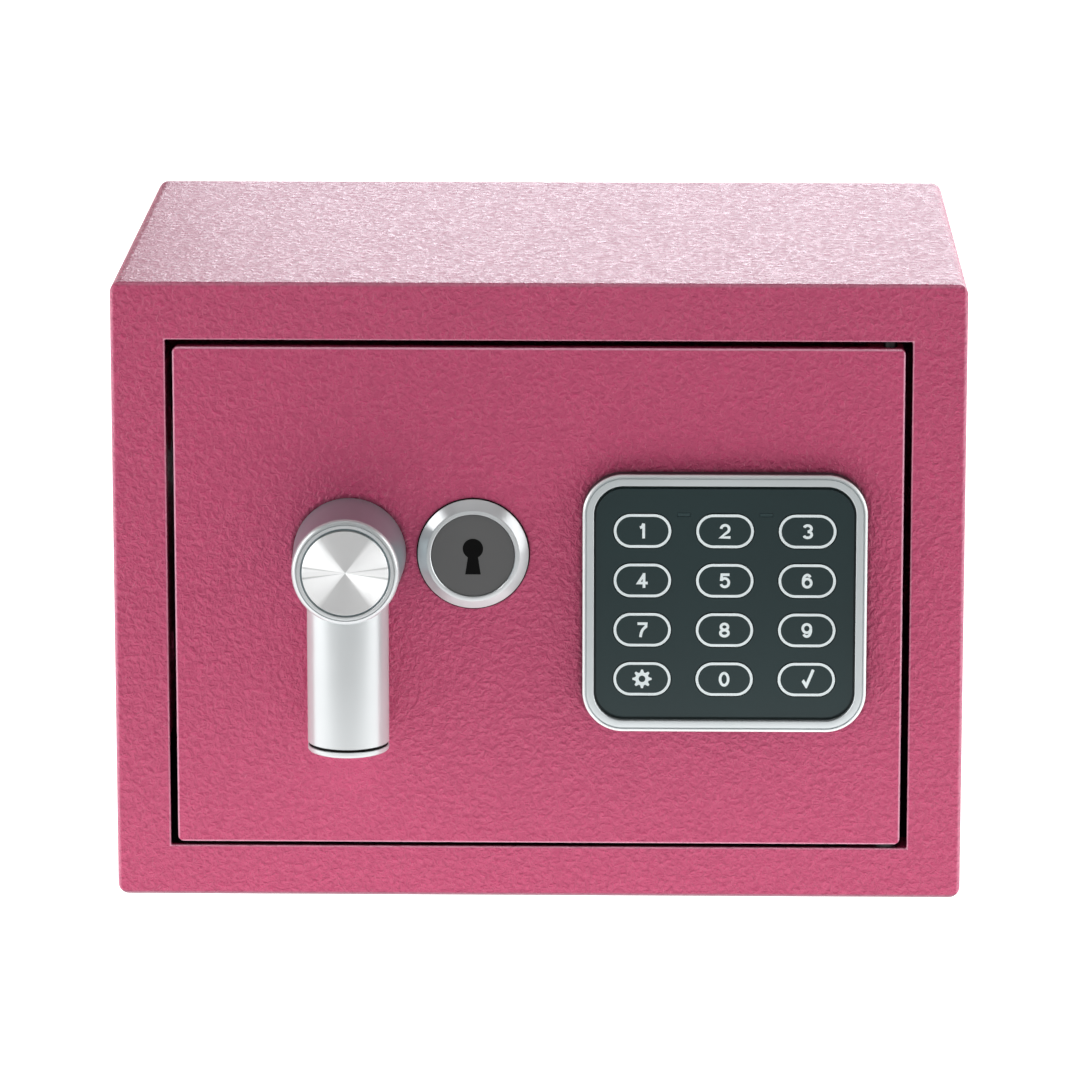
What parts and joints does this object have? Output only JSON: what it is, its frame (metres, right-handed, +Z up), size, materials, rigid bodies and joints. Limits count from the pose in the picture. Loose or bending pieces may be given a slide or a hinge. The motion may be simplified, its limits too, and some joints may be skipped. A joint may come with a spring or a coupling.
{
  "type": "electronic safe",
  "caption": "Small electronic steel safe: flush hinged door with lever handle, keypad and capped emergency key lock, bolts and battery compartment inside the door.",
  "frame": {"origin": "centre of the underside of the cabinet", "axes": "+Z up, -Y the way the door faces, +X towards the hinge side"},
  "size_m": [0.23, 0.1951, 0.17],
  "materials": {
    "cabinet_paint": "pink powder coat with a fine wrinkle texture, half matt",
    "door_paint": "pink powder coat with a fine wrinkle texture, half matt",
    "zinc_steel": "bright zinc plate, lightly yellowed",
    "bolt_steel": "turned and polished",
    "black_steel": "black oxide",
    "brass": "turned",
    "mat_felt": "needled felt",
    "cover_paint": "dark grey powder coat",
    "satin_chrome": "satin chrome plate",
    "spun_aluminium": "spun with circular grain",
    "bezel_silver": "satin silver plated frame",
    "panel_gloss": "dark blue-grey gloss",
    "key_face": "dark blue-grey gloss with pale printed outline and figure",
    "silicone": "translucent grey",
    "circuit_board": "green solder mask",
    "lamp_lens": "dark smoked lens",
    "cap_grey": "satin dark grey",
    "wire_jacket": "red insulation",
    "coil_tape": "amber tape over copper",
    "black_plastic": "fine moulded grain",
    "spring_steel": "nickel plate",
    "cell_sleeve": "printed sleeve over a metal can, one copper-coloured end",
    "red_plastic": "gloss red",
    "legend_print": "pale grey print on the keys",
    "inlay_black": "black filled mark"
  },
  "bodies": {
    "cabinet": {"cabinet_wrap": "cabinet_paint", "front_frame": "cabinet_paint", "back_panel": "cabinet_paint", "strike_plate": "cabinet_paint", "hinge_bracket_upper": "cabinet_paint", "hinge_bracket_lower": "cabinet_paint", "hinge_pins": "black_steel", "hinge_washer": "black_plastic", "floor_mat": "mat_felt"},
    "door": {"door_plate": "door_paint", "hinge_lugs": "door_paint", "bolt_guides": "zinc_steel", "inner_cover": "cover_paint", "cover_screws": "zinc_steel", "handle_bush": "brass", "override_barrel": "zinc_steel", "override_nut": "zinc_steel", "override_ring": "satin_chrome", "keypad_bezel": "bezel_silver", "keypad_panel": "panel_gloss", "keypad_board": "circuit_board", "key_mat": "silicone", "keypad_nuts": "zinc_steel", "indicator_lights": "lamp_lens", "control_board": "circuit_board", "wiring_loom": "wire_jacket", "solenoid_frame": "zinc_steel", "solenoid_coil": "coil_tape", "battery_box": "black_plastic", "battery_contacts": "spring_steel", "battery_cells": "cell_sleeve", "plunger_spring": "spring_steel"},
    "handle": {"handle_hub": "satin_chrome", "handle_face_disc": "spun_aluminium", "handle_bar": "satin_chrome", "handle_end_cap": "satin_chrome", "handle_spindle": "zinc_steel", "handle_cam": "zinc_steel"},
    "bolt_work": {"bolt_carriage": "zinc_steel", "locking_bolt_upper": "bolt_steel", "locking_bolt_lower": "bolt_steel", "bolt_screws": "black_steel"},
    "plunger": {"solenoid_plunger": "bolt_steel"},
    "override_cap": {"override_cap": "cap_grey"},
    "override_key_plug": {"override_plug": "brass", "override_cam": "zinc_steel"},
    "reset_button": {"reset_button": "red_plastic"},
    "battery_cover": {"battery_cover": "black_plastic"},
    "key_1": {"key_1": "key_face"},
    "key_2": {"key_2": "key_face"},
    "key_3": {"key_3": "key_face"},
    "key_4": {"key_4": "key_face"},
    "key_5": {"key_5": "key_face"},
    "key_6": {"key_6": "key_face"},
    "key_7": {"key_7": "key_face"},
    "key_8": {"key_8": "key_face"},
    "key_9": {"key_9": "key_face"},
    "key_settings": {"key_settings": "key_face"},
    "key_0": {"key_0": "key_face"},
    "key_confirm": {"key_confirm": "key_face"}
  },
  "joints": [
    {"name": "door_swing", "type": "hinge", "parent": "cabinet", "child": "door", "pos_m": [0.0945, -0.0805, 0], "axis": [0, 0, 1], "range_deg": [0, 95]},
    {"name": "handle_turn", "type": "hinge", "parent": "door", "child": "handle", "pos_m": [-0.051, -0.085, 0.096], "axis": [0, 1, 0], "range_deg": [0, 90]},
    {"name": "bolt_throw", "type": "slide", "parent": "door", "child": "bolt_work", "axis": [-1, 0, 0], "range_m": [0, 0.011]},
    {"name": "plunger_lift", "type": "slide", "parent": "door", "child": "plunger", "axis": [0, 0, 1], "range_m": [0, 0.004], "stiffness_N_per_m": 60, "deforming": ["plunger_spring"]},
    {"name": "override_cap_pull", "type": "slide", "parent": "door", "child": "override_cap", "axis": [0, -1, 0], "range_m": [0, 0.012]},
    {"name": "override_key_turn", "type": "hinge", "parent": "door", "child": "override_key_plug", "pos_m": [-0.0176, -0.085, 0.096], "axis": [0, 1, 0], "range_deg": [0, 90]},
    {"name": "reset_press", "type": "slide", "parent": "door", "child": "reset_button", "axis": [0, -1, 0], "range_m": [0, 0.0012], "stiffness_N_per_m": 600},
    {"name": "battery_cover_pull", "type": "slide", "parent": "door", "child": "battery_cover", "axis": [0, 1, 0], "range_m": [0, 0.025]},
    {"name": "key_1_press", "type": "slide", "parent": "door", "child": "key_1", "axis": [0, 1, 0], "range_m": [0, 0.0006], "stiffness_N_per_m": 1000},
    {"name": "key_2_press", "type": "slide", "parent": "door", "child": "key_2", "axis": [0, 1, 0], "range_m": [0, 0.0006], "stiffness_N_per_m": 1000},
    {"name": "key_3_press", "type": "slide", "parent": "door", "child": "key_3", "axis": [0, 1, 0], "range_m": [0, 0.0006], "stiffness_N_per_m": 1000},
    {"name": "key_4_press", "type": "slide", "parent": "door", "child": "key_4", "axis": [0, 1, 0], "range_m": [0, 0.0006], "stiffness_N_per_m": 1000},
    {"name": "key_5_press", "type": "slide", "parent": "door", "child": "key_5", "axis": [0, 1, 0], "range_m": [0, 0.0006], "stiffness_N_per_m": 1000},
    {"name": "key_6_press", "type": "slide", "parent": "door", "child": "key_6", "axis": [0, 1, 0], "range_m": [0, 0.0006], "stiffness_N_per_m": 1000},
    {"name": "key_7_press", "type": "slide", "parent": "door", "child": "key_7", "axis": [0, 1, 0], "range_m": [0, 0.0006], "stiffness_N_per_m": 1000},
    {"name": "key_8_press", "type": "slide", "parent": "door", "child": "key_8", "axis": [0, 1, 0], "range_m": [0, 0.0006], "stiffness_N_per_m": 1000},
    {"name": "key_9_press", "type": "slide", "parent": "door", "child": "key_9", "axis": [0, 1, 0], "range_m": [0, 0.0006], "stiffness_N_per_m": 1000},
    {"name": "key_settings_press", "type": "slide", "parent": "door", "child": "key_settings", "axis": [0, 1, 0], "range_m": [0, 0.0006], "stiffness_N_per_m": 1000},
    {"name": "key_0_press", "type": "slide", "parent": "door", "child": "key_0", "axis": [0, 1, 0], "range_m": [0, 0.0006], "stiffness_N_per_m": 1000},
    {"name": "key_confirm_press", "type": "slide", "parent": "door", "child": "key_confirm", "axis": [0, 1, 0], "range_m": [0, 0.0006], "stiffness_N_per_m": 1000}
  ],
  "couplings": [
    {"joint": "bolt_throw", "follows": "handle_turn", "m_per_rad": 0.0070028}
  ]
}
